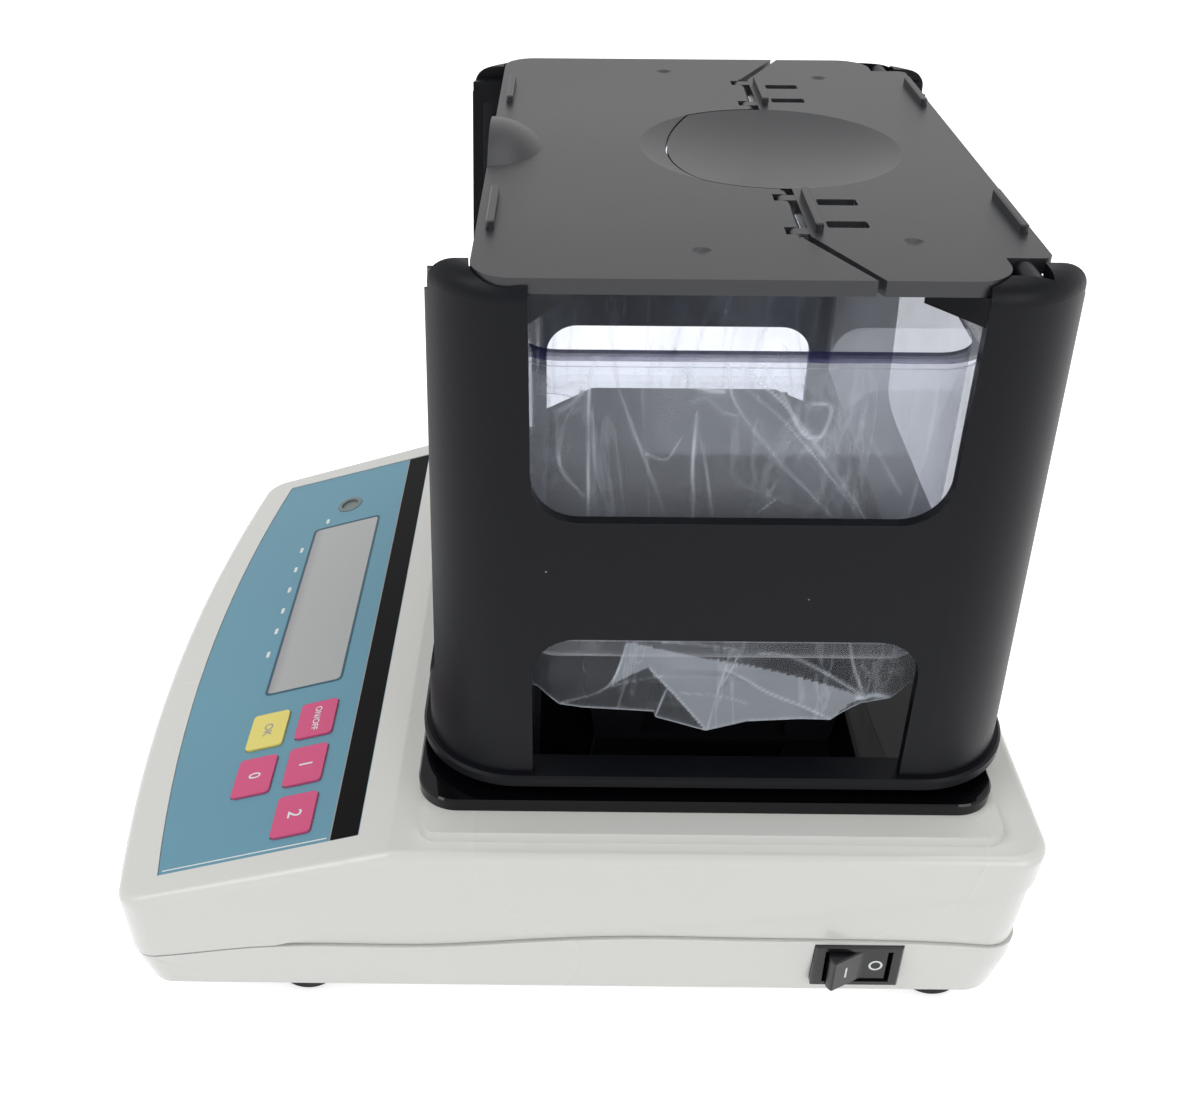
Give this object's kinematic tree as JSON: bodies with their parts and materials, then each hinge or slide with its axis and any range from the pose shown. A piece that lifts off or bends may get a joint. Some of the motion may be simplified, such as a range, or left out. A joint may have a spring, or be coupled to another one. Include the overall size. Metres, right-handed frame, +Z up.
{
  "type": "benchtop density meter",
  "caption": "Benchtop density meter with a sloping keypad panel and a black wind shield tower over a clear water tank on a stand, closed by a folding lid.",
  "frame": {"origin": "centre of the housing's outline, on the surface the feet stand on", "axes": "+Z up, +Y towards the rear, +X towards the side with the power switch"},
  "size_m": [0.1904, 0.219, 0.192],
  "materials": {
    "light_grey_plastic": "gloss",
    "black_satin_plastic": "satin",
    "black_gloss_plastic": "gloss",
    "blue_overlay": "satin",
    "pink_key": "satin",
    "yellow_key": "satin",
    "display_glass": "clear",
    "display_grey": "satin",
    "clear_plastic": "clear",
    "clear_film": "clear",
    "vial_glass": "clear",
    "black_rubber": "matte",
    "steel": "satin",
    "aluminium": "satin",
    "green_board": "gloss"
  },
  "bodies": {
    "housing": {"top_housing": "light_grey_plastic", "bottom_housing": "light_grey_plastic", "housing_screws": "steel", "keypad_overlay": "blue_overlay", "lcd_window": "display_glass", "lcd_module": "display_grey", "display_board": "green_board", "level_vial": "vial_glass", "base_plate": "black_gloss_plastic", "switch_housing": "black_satin_plastic", "load_cell": "aluminium", "load_cell_mount": "aluminium", "load_cell_screws": "steel", "pan_carrier": "aluminium", "weighing_pan": "steel", "main_board": "green_board", "board_standoffs": "black_satin_plastic", "dc_jack": "black_satin_plastic", "serial_port": "steel", "tank_stand": "black_satin_plastic", "water_tank": "clear_plastic", "tank_bag": "clear_film"},
    "tower": {"wind_shield_frame": "black_satin_plastic"},
    "rear_leaf": {"rear_lid": "black_satin_plastic", "rear_hinge_pins": "steel", "middle_hinge_pins": "steel"},
    "front_leaf": {"front_lid": "black_satin_plastic"},
    "rocker": {"switch_rocker": "black_gloss_plastic"},
    "key_power_cap": {"key_power": "pink_key"},
    "key_enter_cap": {"key_enter": "yellow_key"},
    "key_a_cap": {"key_a": "pink_key"},
    "key_zero_cap": {"key_zero": "pink_key"},
    "key_b_cap": {"key_b": "pink_key"},
    "foot_front_left_turn": {"foot_front_left": "black_rubber"},
    "foot_front_right_turn": {"foot_front_right": "black_rubber"},
    "foot_rear_left_turn": {"foot_rear_left": "black_rubber"},
    "foot_rear_right_turn": {"foot_rear_right": "black_rubber"}
  },
  "joints": [
    {"name": "tower_lift", "type": "slide", "parent": "housing", "child": "tower", "axis": [0, 0, 1], "range_m": [0, 0.12]},
    {"name": "rear_leaf_hinge", "type": "hinge", "parent": "tower", "child": "rear_leaf", "pos_m": [0, 0.085, 0.1844], "axis": [-1, 0, 0], "range_deg": [0, 95]},
    {"name": "front_leaf_hinge", "type": "hinge", "parent": "rear_leaf", "child": "front_leaf", "pos_m": [0, 0.0452, 0.1855], "axis": [-1, 0, 0], "range_deg": [0, 105]},
    {"name": "rocker_hinge", "type": "hinge", "parent": "housing", "child": "rocker", "pos_m": [0.09033, 0.071, 0.02185], "axis": [0, 0, -1], "range_deg": [0, 12]},
    {"name": "key_power_press", "type": "slide", "parent": "housing", "child": "key_power_cap", "axis": [0, 0.2797, -0.9601], "range_m": [0, 0.0004], "stiffness_N_per_m": 1500},
    {"name": "key_enter_press", "type": "slide", "parent": "housing", "child": "key_enter_cap", "axis": [0, 0.2797, -0.9601], "range_m": [0, 0.0004], "stiffness_N_per_m": 1500},
    {"name": "key_a_press", "type": "slide", "parent": "housing", "child": "key_a_cap", "axis": [0, 0.2797, -0.9601], "range_m": [0, 0.0004], "stiffness_N_per_m": 1500},
    {"name": "key_zero_press", "type": "slide", "parent": "housing", "child": "key_zero_cap", "axis": [0, 0.2797, -0.9601], "range_m": [0, 0.0004], "stiffness_N_per_m": 1500},
    {"name": "key_b_press", "type": "slide", "parent": "housing", "child": "key_b_cap", "axis": [0, 0.2797, -0.9601], "range_m": [0, 0.0004], "stiffness_N_per_m": 1500},
    {"name": "foot_front_left_thread", "type": "hinge", "parent": "housing", "child": "foot_front_left_turn", "pos_m": [-0.076, -0.062, 0], "axis": [0, 0, 1], "continuous": true},
    {"name": "foot_front_right_thread", "type": "hinge", "parent": "housing", "child": "foot_front_right_turn", "pos_m": [0.076, -0.062, 0], "axis": [0, 0, 1], "continuous": true},
    {"name": "foot_rear_left_thread", "type": "hinge", "parent": "housing", "child": "foot_rear_left_turn", "pos_m": [-0.076, 0.094, 0], "axis": [0, 0, 1], "continuous": true},
    {"name": "foot_rear_right_thread", "type": "hinge", "parent": "housing", "child": "foot_rear_right_turn", "pos_m": [0.076, 0.094, 0], "axis": [0, 0, 1], "continuous": true}
  ]
}
